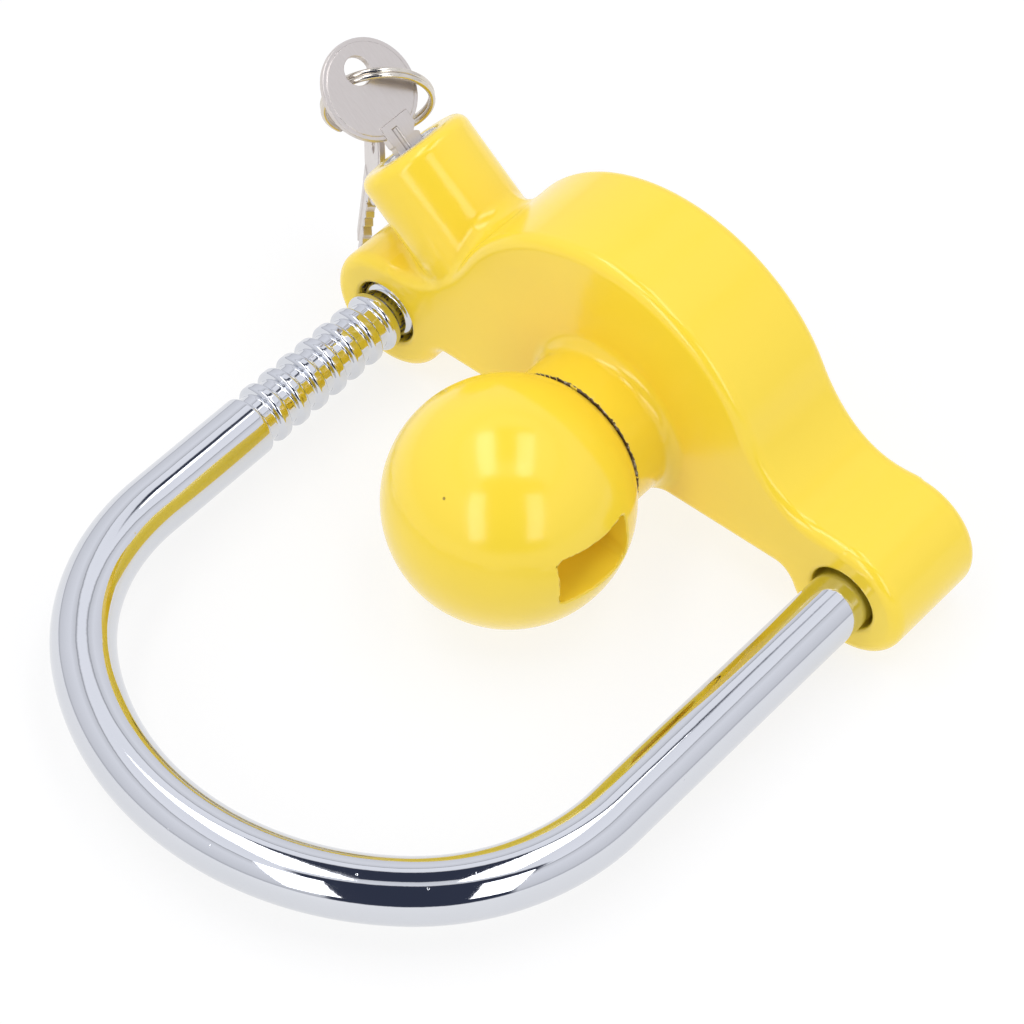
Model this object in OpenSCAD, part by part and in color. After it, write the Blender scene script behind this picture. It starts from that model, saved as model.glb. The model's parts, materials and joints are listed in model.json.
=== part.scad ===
// Ratchet shackle lock for a trailer coupler: cast body, ball, U shackle, key lock.
// Millimetres. The origin is the ball's centre. +X runs from the lock end to the
// plain end, the shackle reaches towards -Y and +Z is up. The pieces are laid out
// with the body's front face at y = 0 and the floor at z = 0, and placed() moves
// them into the part's frame.

/* [Body] */
// Thickness of the cast body along Y
body_t = 24.8; // [22:0.2:27]
// Radius of each ear around its shackle bore
ear_r = 13; // [12.5:0.25:14]
// Radius of the arch over the ball
arch_r = 38; // [36:0.5:40]
// How far the arch centre sits towards the lock end
arch_shift = 2; // [0:0.5:3]
// Height of the flat belly between the ears
belly_z = 11; // [9:0.5:12]
// Radius of the hollow blend between the arch and the plain ear
blend_r = 14; // [10:1:16]
// Radius of the rounded casting edges
edge_r = 2.5; // [1.5:0.25:3]
// Diameter of the plain shackle bore
bore_d = 14; // [13.5:0.25:14.5]

/* [Shackle] */
// Distance between the centres of the two legs
leg_span = 112; // [110:1:114]
// Diameter of the shackle rod
rod_d = 12.4; // [12:0.1:12.8]
// Distance from the body's front face to the start of the bend
leg_out = 65.5; // [60:0.5:70]
// Radius of the bend's corners, to the rod's centre line
corner_r = 46; // [44:1:48]
// Radius of the bend's broad end, to the rod's centre line
end_r = 62; // [60:1:64]
// How far each leg goes into its bore
leg_in = 19; // [18:0.5:20]
// Distance from one ratchet ring to the next
pitch = 5.2; // [5:0.05:5.3]
// Number of ratchet rings
rings = 10; // [8:1:10]
// Diameter over the ratchet rings
ring_d = 12.4; // [12:0.1:12.6]
// Diameter at the bottom of the ratchet grooves
root_d = 10; // [9.6:0.1:10.2]

/* [Ball] */
// Diameter of the ball
ball_d = 47.6; // [46:0.1:50.8]
// Distance from the body's front face to the ball's centre
ball_out = 28.35; // [27:0.05:30]
// Diameter of the neck behind the ball
neck_d = 31.6; // [30:0.2:32]
// Length of the neck
neck_l = 10; // [9:0.5:11]

/* [Lock] */
// Tilt of the lock away from upright, towards the lock end
lock_tilt = 50; // [49:0.5:51]
// Distance of the plug's face from the foot of the lock axis beside the leg
lock_len = 24.6; // [24:0.1:25]
// Distance between the lock axis and the leg's centre line
lock_offset = 23.7; // [23.5:0.1:24]
// Diameter of the boss around the lock
boss_d = 24; // [23:0.5:24]
// Diameter of the lock's shell
shell_d = 12.7; // [12.5:0.1:13]
// Diameter of the turning plug
plug_d = 9.8; // [9.6:0.1:10]
// Stroke of the pawl between free and locked
pawl_stroke = 0.9; // [0.8:0.05:1]
// Diameter of the pawl
pawl_d = 9; // [8.5:0.1:9.2]

/* [Key] */
// Diameter of the key's round head
head_d = 20.5; // [19:0.5:22]
// Thickness of the key
key_t = 1.9; // [1.7:0.1:2]
// Width of the key's blade
blade_w = 7; // [6.5:0.1:7.1]
// Length of the blade inside the plug
blade_l = 15.5; // [14:0.5:15.5]
// Diameter of the hole in the key's head
hole_d = 5.8; // [5.4:0.1:6]
// Mean diameter of the split ring
split_d = 21; // [20:0.5:22]
// Diameter of the split ring's wire
wire_d = 1.25; // [1.1:0.05:1.4]

/* [Hidden] */
$fn = 64;

cast = "#f6c92e";
bright = "#d7d9db";
steel = "#a9abad";
nickel = "#cfc8c2";
dark = "#6d6e70";

half_span = leg_span / 2;
leg_z = ear_r;
rod_r = rod_d / 2;
ball_r = ball_d / 2;
ball_z = ball_r;
mid_y = body_t / 2;
gap = 0.05;

// Foot of the lock axis, beside the leg, and the plug's face.
foot = [-half_span + lock_offset * cos(lock_tilt), leg_z + lock_offset * sin(lock_tilt)];
// Shaft of the screw that holds the ball.
screw_d = 10;
// Places along the lock axis, from the plug's face into the body.
boss_top = 0;
head_l = 1.2;
shell_l = 16;
clip_at = 16.1;
cam_at = 17.2;
cam_t = 2;
cavity_l = 26;
crank_pin_d = 3;
crank_pin_l = 5.8;
crank = pawl_stroke / (2 * sin(45));
cam_pin_d = 1.2;
// The pin that holds the shell runs along Y past one side of it.
shell_pin_at = [6.3, 12];
shell_pin_d = 2;
shell_pin_in = 4;
// Places along the pawl, from the lock axis towards the leg.
pawl_tip = lock_offset - ring_d / 2 - 0.2;
pawl_tail = -6;
spring_end = -10.5;
spring_seat = 3;
spring_d = 5.2;
// First ratchet ring from the leg's end. The pawl drops in just behind the second one.
ring_first = 12.6;
shoulder_y = -38.2;
// Wafers, one behind another in the plug.
wafer_pitch = 2.6;
wafer_t = 1;

// Moves the layout so that the ball's centre is the origin.
module placed() {
    translate([0, ball_out, -ball_z]) children();
}

// Puts a child that is built along +Z on the lock axis, its +Z into the body, its
// +X towards the leg and its +Y to the rear.
module on_lock() {
    translate([foot[0], mid_y, foot[1]]) rotate([0, 180 - lock_tilt, 0])
        translate([0, 0, -lock_len]) children();
}

// Puts a child that is built along +Z on the pawl's axis, its +Z towards the leg,
// its +X back along the lock axis and its +Y to the rear.
module on_pawl() {
    translate([foot[0], mid_y, foot[1]]) rotate([0, 270 - lock_tilt, 0]) children();
}

// Runs along the pin that holds the shell, from its inner end to the rear.
module on_shell_pin() {
    on_lock() translate([shell_pin_at[0], -shell_pin_in, shell_pin_at[1]])
        rotate([-90, 0, 0]) children();
}

// Disc about Y with rounded rims.
module rounded_disc(r, t, e) {
    rotate([-90, 0, 0]) rotate_extrude($fn = 128) {
        square([r - e, t]);
        translate([0, e]) square([r, t - 2 * e]);
        for (h = [e, t - e]) translate([r - e, h]) circle(e, $fn = 32);
    }
}

module ear(side) {
    translate([side * half_span, 0, leg_z]) rounded_disc(ear_r, body_t, edge_r);
}

// Webs between the arch and the ears. The one on the plain side has a hollow blend.
web_top = leg_z + ear_r;
blend_z = web_top + blend_r;
blend_x = -arch_shift + sqrt(pow(arch_r + blend_r, 2) - pow(blend_z - ball_z, 2));

module web_outline() {
    difference() {
        translate([20, belly_z]) square([half_span - 20, web_top - belly_z + 12]);
        translate([blend_x, blend_z]) circle(blend_r, $fn = 96);
        translate([blend_x, web_top]) square([half_span, 40]);
    }
    translate([-half_span, belly_z]) square([30, web_top - belly_z]);
}

// Ring that breaks the edges of the hollow blend.
module blend_bevel() {
    rotate_extrude($fn = 96) polygon([
        [blend_r - 1, -1], [blend_r + edge_r + 1, -1], [blend_r - 1, edge_r + 1]]);
}

module webs() {
    translate([0, body_t, 0]) rotate([90, 0, 0]) difference() {
        linear_extrude(body_t) web_outline();
        translate([blend_x, blend_z, 0]) blend_bevel();
        translate([blend_x, blend_z, body_t]) mirror([0, 0, 1]) blend_bevel();
        for (h = [0, body_t]) translate([half_span / 2 + blend_x / 2, web_top, h])
            rotate([45, 0, 0]) cube([half_span, 1.4 * edge_r, 1.4 * edge_r], center = true);
    }
}

module arch() {
    intersection() {
        translate([-arch_shift, 0, ball_z]) rounded_disc(arch_r, body_t, edge_r);
        translate([-50, -1, belly_z]) cube([100, body_t + 2, 60]);
    }
}

module boss() {
    on_lock() rotate_extrude($fn = 128) {
        translate([0, edge_r + boss_top]) square([boss_d / 2, 36]);
        translate([boss_d / 2 - edge_r, edge_r + boss_top]) circle(edge_r, $fn = 32);
        translate([0, boss_top]) square([boss_d / 2 - edge_r, 5]);
    }
}

// Neck of the ball, cut off level with the belly.
module neck() {
    flare = 3;
    intersection() {
        translate([0, 0, ball_z]) rotate([90, 0, 0]) rotate_extrude($fn = 128) difference() {
            translate([0, -2]) square([neck_d / 2 + flare, neck_l + 2]);
            translate([neck_d / 2 + flare, flare]) circle(flare, $fn = 48);
            translate([neck_d / 2, flare]) square([flare + 1, neck_l]);
        }
        union() {
            translate([-40, 0, belly_z]) cube([80, 20, 60]);
            translate([-40, -neck_l - 1, 0]) cube([80, neck_l + 1, 60]);
        }
    }
}

module lock_body() {
    color(cast) placed() difference() {
        union() {
            arch();
            webs();
            ear(-1);
            ear(1);
            neck();
            intersection() {
                boss();
                translate([-100, 0, belly_z]) cube([140, body_t, 60]);
            }
        }
        for (side = [-1, 1])
            translate([side * half_span, -1, leg_z]) rotate([-90, 0, 0])
                cylinder(d = bore_d, h = body_t + 2);
        // Seat of the lock shell, then the cavity for the cam and the pawl's crank.
        on_lock() {
            translate([0, 0, -5]) cylinder(d = shell_d + 2 * gap, h = shell_l + 5.5);
            translate([0, 0, shell_l]) cylinder(d = shell_d - 1, h = cavity_l - shell_l);
        }
        // Bore of the pawl, drilled from below through the ear, and its spring's pocket.
        on_pawl() {
            translate([0, 0, pawl_tail - 0.2]) cylinder(d = pawl_d + 2 * gap, h = 60);
            translate([0, 0, spring_end]) cylinder(d = spring_d + 0.9, h = 6);
        }
        on_shell_pin() translate([0, 0, -0.2]) cylinder(d = shell_pin_d, h = body_t);
        // Screw hole of the ball.
        translate([0, 1 + body_t, ball_z]) rotate([90, 0, 0]) {
            cylinder(d = screw_d + 0.4, h = body_t + neck_l + 10);
            cylinder(d = 18, h = 13);
        }
    }
}

module ball() {
    color(cast) placed() translate([0, -ball_out, ball_z]) difference() {
        sphere(ball_r, $fn = 128);
        translate([-30, ball_out - neck_l, -30]) cube([60, 30, 60]);
        rotate([-90, 0, 0]) cylinder(d = screw_d + 0.1, h = 30);
        ball_pocket();
    }
}

// Pocket in the ball's flank.
module ball_pocket() {
    translate([12, -10.4, -4.2]) {
        translate([0, 1.6, 0]) cube([20, 15.6, 11.2]);
        translate([0, 0, 1.6]) cube([20, 17.2, 8]);
        for (h = [1.6, 9.6]) translate([0, 1.6, h]) rotate([0, 90, 0]) cylinder(r = 1.6, h = 20);
    }
}

module ball_screw() {
    color(dark) placed() translate([0, body_t - 2.4, ball_z]) rotate([90, 0, 0]) difference() {
        union() {
            cylinder(d = 16, h = 8);
            cylinder(d = screw_d, h = body_t + ball_out - 2.8);
        }
        translate([0, 0, -1]) cylinder(d = 9.2, h = 6, $fn = 6);
    }
}

module ball_washer() {
    color(steel) placed() translate([0, body_t - 10.4, ball_z]) rotate([90, 0, 0]) difference() {
        cylinder(d = 17, h = 1.6);
        translate([0, 0, -1]) cylinder(d = screw_d + 0.4, h = 4);
    }
}

function ring_y(k) = ring_first - pitch * k;

// Outline of the ratchet leg: radius across, height along the leg towards +Y.
function ring_points(k) = [
    [root_d / 2, ring_y(k) - 1.5], [ring_d / 2 - 0.4, ring_y(k) - 1.25],
    [ring_d / 2, ring_y(k) - 0.85], [ring_d / 2, ring_y(k) + 0.85],
    [ring_d / 2 - 0.4, ring_y(k) + 1.25], [root_d / 2, ring_y(k) + 1.5]];

module ratchet_leg() {
    body = [for (k = [rings - 1:-1:0]) each ring_points(k)];
    rotate([-90, 0, 0]) rotate_extrude($fn = 96)
        polygon(concat([[0, -leg_out], [rod_r, -leg_out], [rod_r, shoulder_y - 1],
            [rod_r - 0.6, shoulder_y], [root_d / 2, shoulder_y]], body,
            [[root_d / 2, leg_in - 1], [root_d / 2 - 1, leg_in], [0, leg_in]]));
}

module plain_leg() {
    rotate([-90, 0, 0]) rotate_extrude($fn = 96) polygon([[0, -leg_out],
        [rod_r, -leg_out], [rod_r, leg_in - 1], [rod_r - 1, leg_in], [0, leg_in]]);
}

// Part of a bend, swept about +Z.
module bend(r, from_a, to_a) {
    rotate([0, 0, from_a]) rotate_extrude(angle = to_a - from_a, $fn = 192)
        translate([r, 0]) circle(rod_r, $fn = 64);
}

module shackle() {
    corner_x = half_span - corner_r;
    drop = sqrt(pow(end_r - corner_r, 2) - pow(corner_x, 2));
    turn = atan2(drop, corner_x);
    color(bright) placed() translate([0, 0, leg_z]) {
        translate([-half_span, 0, 0]) ratchet_leg();
        translate([half_span, 0, 0]) plain_leg();
        translate([corner_x, -leg_out, 0]) bend(corner_r, -turn, 0);
        translate([-corner_x, -leg_out, 0]) bend(corner_r, 180, 180 + turn);
        translate([0, drop - leg_out, 0]) bend(end_r, 180 + turn, 360 - turn);
        // The stretches meet face to face, and a hidden core joins each pair.
        for (side = [-1, 1]) {
            translate([side * half_span, -leg_out, 0]) sphere(rod_r - 1.5);
            translate([side * end_r * cos(turn), drop - leg_out - end_r * sin(turn), 0])
                sphere(rod_r - 1.5);
        }
    }
}

// Slots that the wafers drop into, at both places where the key comes out.
module lock_shell() {
    color(bright) placed() difference() {
        on_lock() translate([0, 0, head_l + 0.1])
            cylinder(d = shell_d, h = shell_l - head_l - 0.1);
        on_lock() cylinder(d = plug_d + 0.2, h = shell_l + 1);
        on_lock() for (a = [0, 90]) rotate([0, 0, a])
            translate([-3.2, 0, 2.4]) cube([6.4, plug_d / 2 + 0.75, 5 * wafer_pitch - 0.6]);
        on_shell_pin() translate([0, 0, -4]) cylinder(d = shell_pin_d, h = body_t);
    }
}

function wafer_at(i) = 2.9 + wafer_pitch * i;

module lock_plug() {
    color(bright) placed() on_lock() difference() {
        union() {
            cylinder(d = 12.4, h = head_l);
            cylinder(d = plug_d, h = cam_at - 0.05);
            translate([-2.5, -2.5, cam_at - 1]) cube([5, 5, cam_t + 0.6]);
        }
        translate([-1.1, -4.3, -1]) cube([2.2, 8.6, 1.8]);
        translate([-1.1, -3.7, -1]) cube([2.2, 7.4, shell_l + 0.6]);
        for (i = [0:4]) translate([-3.1, -6, wafer_at(i) - 0.1])
            cube([6.2, 12, wafer_t + 0.2]);
        translate([0, 0, clip_at]) difference() {
            cylinder(d = plug_d + 1, h = 0.9);
            translate([0, 0, -1]) cylinder(d = 8, h = 3);
        }
        cam_pin_hole();
    }
}

// Cross hole for the pin that holds the cam on the plug's tang.
module cam_pin_hole() {
    translate([0, 6, cam_at + 0.9]) rotate([90, 0, 0]) cylinder(d = cam_pin_d, h = 12);
}

// Wafer with a window for the key and a notch for its spring.
module wafer(i) {
    color("#c9a24a") placed() on_lock() translate([0, 0, wafer_at(i)]) difference() {
        intersection() {
            cylinder(r = plug_d / 2 - 0.08, h = wafer_t);
            translate([-3, -6, -1]) cube([6, 12, 3]);
        }
        translate([-1.3, -4.05, -1]) cube([2.6, 7.65, 3]);
        translate([1.95, -1.6, -1]) cube([2, 3.2, 3]);
    }
}
module wafer_1() { wafer(0); }
module wafer_2() { wafer(1); }
module wafer_3() { wafer(2); }
module wafer_4() { wafer(3); }
module wafer_5() { wafer(4); }

// Tightly wound spring drawn as a solid with one groove for each turn.
module ribbed_spring(r, wire, length, turns) {
    rotate_extrude($fn = 32) {
        square([r - wire, length]);
        for (k = [0:turns - 1])
            translate([r - wire, wire + k * (length - 2 * wire) / (turns - 1)])
                circle(wire, $fn = 16);
    }
}

module wafer_springs() {
    color(steel) placed() on_lock() for (i = [0:4])
        translate([2.5, -1.5, wafer_at(i) + wafer_t / 2]) rotate([-90, 0, 0])
            ribbed_spring(0.45, 0.15, 3, 6);
}

module plug_clip() {
    color(steel) placed() on_lock() translate([0, 0, clip_at + 0.1]) difference() {
        cylinder(d = 11.4, h = 0.7);
        translate([0, 0, -1]) cylinder(d = 8.2, h = 3);
        translate([-3, 0, -1]) cube([6, 8, 3]);
    }
}

// Cam with the crank pin that draws the pawl back.
module plug_cam() {
    color(steel) placed() on_lock() translate([0, 0, cam_at]) difference() {
        union() {
            cylinder(d = 11, h = cam_t);
            rotate([0, 0, 45]) translate([-crank, 0, 0])
                cylinder(d = crank_pin_d, h = cam_t + crank_pin_l);
        }
        translate([-2.55, -2.55, -1]) cube([5.1, 5.1, cam_t + 1 - 0.3]);
        translate([0, 0, -cam_at]) cam_pin_hole();
    }
}

module cam_pin() {
    color(steel) placed() on_lock() translate([0, 5, cam_at + 0.9]) rotate([90, 0, 0])
        cylinder(d = cam_pin_d, h = 10);
}

module shell_pin() {
    color(steel) placed() on_shell_pin() cylinder(d = shell_pin_d, h = mid_y + shell_pin_in - 0.6);
}

module pawl() {
    tooth_y = ring_y(1) + pitch / 2 - mid_y;
    color(steel) placed() on_pawl() difference() {
        translate([0, 0, pawl_tail]) cylinder(d = pawl_d, h = pawl_tip - pawl_tail);
        // Flanks of the tooth.
        translate([-6, -6, pawl_tip - 1]) cube([12, 6 + tooth_y - 0.65, 2]);
        translate([-6, tooth_y + 0.65, pawl_tip - 1]) cube([12, 8, 2]);
        // Slot for the crank pin, with room for the pawl to ride back over the rings.
        translate([-1.6, -2.5, -crank_pin_d / 2 - 0.6])
            cube([8, 5, crank_pin_d + 1.2]);
        // Seat of the spring.
        translate([0, 0, pawl_tail - 1]) cylinder(d = 6, h = spring_seat + 1);
    }
}

module pawl_spring() {
    color(steel) placed() on_pawl() translate([0, 0, spring_end])
        ribbed_spring(spring_d / 2, 0.5, pawl_tail + spring_seat - spring_end, 7);
}

// Plug that closes the lower end of the pawl's bore, flush with the ear.
module pawl_bore_cap() {
    color(cast) placed() intersection() {
        on_pawl() translate([0, 0, lock_offset + ear_r - 5]) cylinder(d = pawl_d, h = 10);
        translate([-half_span, 0, leg_z]) rotate([-90, 0, 0])
            cylinder(r = ear_r, h = body_t, $fn = 128);
    }
}

// Key in its own frame: +X along the blade, +Y across it, +Z out of its face.
// The plug's face is x = 0.
head_x = -13.1;
hole_x = head_x - 4.2;

module key_form() {
    translate([0, 0, -key_t / 2]) difference() {
        union() {
            translate([head_x, 0, 0]) {
                translate([0, 0, 0.3]) cylinder(d = head_d, h = key_t - 0.6, $fn = 96);
                cylinder(d = head_d - 1.4, h = key_t, $fn = 96);
            }
            translate([-6, -3.7, 0]) cube([4.6, 7.4, key_t]);
            linear_extrude(key_t) polygon(concat(
                [[-2, -blade_w / 2], [blade_l - 2.5, -blade_w / 2], [blade_l, 0]],
                [for (i = [5:-1:0]) each [
                    [2.1 + wafer_pitch * i, blade_w / 2 - 0.3],
                    [2.1 + wafer_pitch * i - 1, blade_w / 2 - 0.9 - 0.5 * (i % 3)]]],
                [[-2, blade_w / 2]]));
        }
        translate([hole_x, 0, -1]) cylinder(d = hole_d, h = key_t + 2);
    }
}

module key() {
    color(nickel) placed() on_lock() rotate([0, -90, 0]) key_form();
}

// Centre of the split ring and the way it leans, and the way the spare key hangs from it.
ring_at = [-71.31, 16.5, leg_z + 34.986];
ring_turn = 138;
ring_lean = 75.8;
spare_swing = [6, -3];

// Hangs from the lowest point of the ring, its face square to the ring's wire there.
module spare_key() {
    color(nickel) placed() translate(ring_at) rotate([0, 0, ring_turn]) rotate([0, ring_lean, 0])
        translate([split_d / 2, 0, 0]) rotate([0, -ring_lean, 0])
            rotate([0, 0, 90]) rotate([0, 90, 0])
                rotate([0, -spare_swing[0], spare_swing[1]])
                    translate([-hole_x + hole_d / 2 - wire_d / 2 - 0.4, 0, 0]) key_form();
}

module split_ring() {
    color(nickel) placed() translate(ring_at) rotate([0, 0, ring_turn]) rotate([0, ring_lean, 0])
        rotate_extrude($fn = 96)
            for (h = [-1, 1]) translate([split_d / 2, h * (wire_d / 2 - 0.05)])
                circle(d = wire_d, $fn = 24);
}

lock_body();
ball();
ball_screw();
ball_washer();
shackle();
lock_shell();
lock_plug();
wafer_1();
wafer_2();
wafer_3();
wafer_4();
wafer_5();
wafer_springs();
plug_clip();
plug_cam();
cam_pin();
shell_pin();
pawl();
pawl_spring();
pawl_bore_cap();
key();
spare_key();
split_ring();
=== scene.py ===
import json
import math

import bpy
import numpy as np
from mathutils import Matrix, Vector


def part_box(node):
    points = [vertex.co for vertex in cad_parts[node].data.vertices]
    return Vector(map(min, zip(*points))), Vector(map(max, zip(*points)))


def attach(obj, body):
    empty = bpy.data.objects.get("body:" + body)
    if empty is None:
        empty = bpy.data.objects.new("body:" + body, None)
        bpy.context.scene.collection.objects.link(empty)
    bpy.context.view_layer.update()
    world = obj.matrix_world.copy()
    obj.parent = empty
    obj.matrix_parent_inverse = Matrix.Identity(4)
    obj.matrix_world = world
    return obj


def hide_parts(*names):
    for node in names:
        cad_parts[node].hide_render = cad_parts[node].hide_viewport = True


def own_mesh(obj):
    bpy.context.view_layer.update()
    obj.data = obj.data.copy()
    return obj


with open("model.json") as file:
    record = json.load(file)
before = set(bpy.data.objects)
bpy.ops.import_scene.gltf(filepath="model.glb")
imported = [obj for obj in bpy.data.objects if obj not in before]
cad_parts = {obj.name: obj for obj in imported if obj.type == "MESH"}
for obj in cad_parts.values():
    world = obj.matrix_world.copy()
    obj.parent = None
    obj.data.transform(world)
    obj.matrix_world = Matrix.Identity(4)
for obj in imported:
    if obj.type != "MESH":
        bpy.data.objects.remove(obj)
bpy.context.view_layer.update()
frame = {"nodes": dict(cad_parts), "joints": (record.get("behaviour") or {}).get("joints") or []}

# ---------------------------------------------------------------------------
# Places and sizes, in millimetres in the row's frame (the ball's centre is the
# origin, the shackle reaches towards -Y and +Z is up). Places come from the CAD
# frame; sizes that a box can't give are the part's own driving dimensions.
# ---------------------------------------------------------------------------
MM = 0.001


def corners(node):
    """Lowest and highest corner of a CAD node."""
    low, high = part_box(node)
    return np.array(low) / MM, np.array(high) / MM


JOINTS = {j["name"]: j for j in frame["joints"]}
BODY_LOW, BODY_HIGH = corners("lock_body")
BALL_LOW, BALL_HIGH = corners("ball")

THICK = 24.8
EAR_R = 13.0
BALL_R = 23.8
SHELL_R = 6.35

REAR_Y = BODY_HIGH[1]
FACE_Y = REAR_Y - THICK
FLOOR_Z = BODY_LOW[2]
LEG_Z = FLOOR_Z + EAR_R
HALF_SPAN = BODY_HIGH[0] - EAR_R
SEAT_Y = BODY_LOW[1]

# Lock frame: origin at the plug's face, +Z into the body, +X towards the leg.
LOCK_POS = np.array(JOINTS["plug_turn"]["pos_m"]) / MM
LOCK_Z = np.array(JOINTS["plug_turn"]["axis"])
LOCK_X = np.array(JOINTS["pawl_slide"]["axis"])
LOCK_Y = np.cross(LOCK_Z, LOCK_X)
PAWL_AT = 24.6


def lock_coords(points):
    """Distance towards the leg, to the rear and into the body, from the plug's face."""
    away = points - LOCK_POS
    return away @ LOCK_X, away @ LOCK_Y, away @ LOCK_Z


# ---------------------------------------------------------------------------
# Solids as distance functions, with true fillets, turned into smooth meshes
# ---------------------------------------------------------------------------
SETTLING_ROUNDS = 4
NORMAL_REACH = 0.06


def join(a, b, r):
    """Union of two solids with a fillet of radius r in the crease."""
    return np.maximum(r, np.minimum(a, b)) - np.hypot(np.maximum(r - a, 0), np.maximum(r - b, 0))


def cut(a, b, r):
    """a without b, with an edge rounding of radius r."""
    return -join(-a, b, r)


def slab(a, b, r):
    """Overlap of two solids, with a rounded outer edge of radius r."""
    u, v = a + r, b + r
    return np.minimum(np.maximum(u, v), 0) + np.hypot(np.maximum(u, 0), np.maximum(v, 0)) - r


def between(value, low, high):
    """What lies between two parallel faces."""
    return np.abs(value - (low + high) / 2) - (high - low) / 2


def rod(across, along, radius, start, end, r):
    """Cylinder from start to end, with rims rounded by radius r."""
    return slab(across - radius, between(along, start, end), r)


def block(x, y, half_x, half_y, r):
    """Endless bar of these half widths, with corners rounded by radius r."""
    return slab(np.abs(x) - half_x, np.abs(y) - half_y, r)


def fade(value, start, end):
    """0 before start, 1 after end and a straight rise between."""
    return np.clip((value - start) / (end - start), 0, 1)


def sample(solid, axes):
    """Values of a distance function on a grid of points."""
    values = np.empty([len(axis) for axis in axes], np.float32)
    y, z = np.meshgrid(axes[1], axes[2], indexing="ij")
    for i, x in enumerate(axes[0]):
        points = np.stack([np.full(y.size, x), y.ravel(), z.ravel()], 1)
        values[i] = solid(points).reshape(y.shape)
    return values


def crossed_edges(values, axis):
    """The grid edges along an axis that cross the surface.

    Gives each crossing in grid steps, the four cells round its edge, and whether
    the edge leads out of the solid.
    """
    before = [slice(None)] * 3
    after = [slice(None)] * 3
    before[axis], after[axis] = slice(0, -1), slice(1, None)
    a, b = values[tuple(before)], values[tuple(after)]
    crossing = (a < 0) != (b < 0)
    at = np.argwhere(crossing)
    a, b = a[crossing], b[crossing]
    spot = at.astype(np.float32)
    spot[:, axis] += a / (a - b)
    u, v = (axis + 1) % 3, (axis + 2) % 3
    last = np.array(values.shape) - 1
    inner = (at[:, u] > 0) & (at[:, v] > 0) & (at[:, u] < last[u]) & (at[:, v] < last[v])
    cells = []
    for du, dv in ((0, 0), (1, 0), (1, 1), (0, 1)):
        cell = at[inner]
        cell[:, u] -= du
        cell[:, v] -= dv
        cells.append(tuple(cell.T))
    return spot[inner], cells, (a < 0)[inner]


def surface(solid, low, high, step):
    """Surface-net mesh of a distance function: points, four-sided faces and normals."""
    low, high = np.array(low, float) - 2 * step, np.array(high, float) + 2 * step
    count = np.ceil((high - low) / step).astype(int) + 1
    values = sample(solid, [low[i] + step * np.arange(count[i]) for i in range(3)])
    edges = [crossed_edges(values, axis) for axis in range(3)]

    # Each cell that the surface crosses gets one point, the mean of its edges' crossings.
    total = np.zeros((*(count - 1), 3), np.float32)
    hits = np.zeros(count - 1, np.float32)
    for spot, cells, _ in edges:
        for cell in cells:
            np.add.at(total, cell, spot)
            np.add.at(hits, cell, 1)
    used = hits > 0
    number = np.full(count - 1, -1)
    number[used] = np.arange(used.sum())
    points = low + step * (total[used] / hits[used][:, None]).astype(float)

    # Each crossed edge gets one face, through the four cells round it.
    faces = []
    for _, cells, outward in edges:
        quad = np.stack([number[cell] for cell in cells], 1)
        quad[~outward] = quad[~outward][:, ::-1]
        faces.append(quad)

    # The points then move onto the surface itself.
    for _ in range(SETTLING_ROUNDS):
        slope = gradient(solid, points, 0.01)
        reach = np.clip(solid(points), -0.6 * step, 0.6 * step)
        points = points - reach[:, None] * slope
    return points, np.concatenate(faces), gradient(solid, points, NORMAL_REACH)


def gradient(solid, points, h):
    """Outward unit directions at the points, from differences over h to each side."""
    slope = np.empty_like(points)
    for axis in range(3):
        shift = np.zeros(3)
        shift[axis] = h
        slope[:, axis] = solid(points + shift) - solid(points - shift)
    length = np.linalg.norm(slope, axis=1, keepdims=True)
    return slope / np.maximum(length, 1e-9)


def new_mesh(name, points, faces, normals=None, place=None):
    """An object from millimetre points; place is (origin, x, y, z) of a local frame."""
    points = np.asarray(points, float)
    if place is not None:
        origin, x, y, z = place
        turn = np.stack([x, y, z])
        points = points @ turn + origin
        if normals is not None:
            normals = normals @ turn
    if isinstance(faces, np.ndarray):
        faces = faces.tolist()
    mesh = bpy.data.meshes.new(name)
    mesh.from_pydata((points * MM).tolist(), [], faces)
    mesh.update()
    mesh.polygons.foreach_set("use_smooth", np.ones(len(mesh.polygons), bool))
    if normals is not None:
        mesh.normals_split_custom_set_from_vertices(normals.tolist())
    piece = bpy.data.objects.new(name, mesh)
    bpy.context.scene.collection.objects.link(piece)
    return piece


def point_value(piece, name, values):
    """Stores one number per point, for a material to read."""
    layer = piece.data.attributes.new(name, "FLOAT", "POINT")
    layer.data.foreach_set("value", np.asarray(values, np.float32))


# ---------------------------------------------------------------------------
# Material building
# ---------------------------------------------------------------------------
BUMP_STRENGTH = 1.15


def fill_ramp(node, stops):
    """Gives a colour ramp its (value, colour) stops."""
    steps = node.color_ramp.elements
    while len(steps) < len(stops):
        steps.new(0.5)
    for step, (place, colour) in zip(steps, stops):
        step.position = place
        step.color = (*colour, 1)


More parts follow.
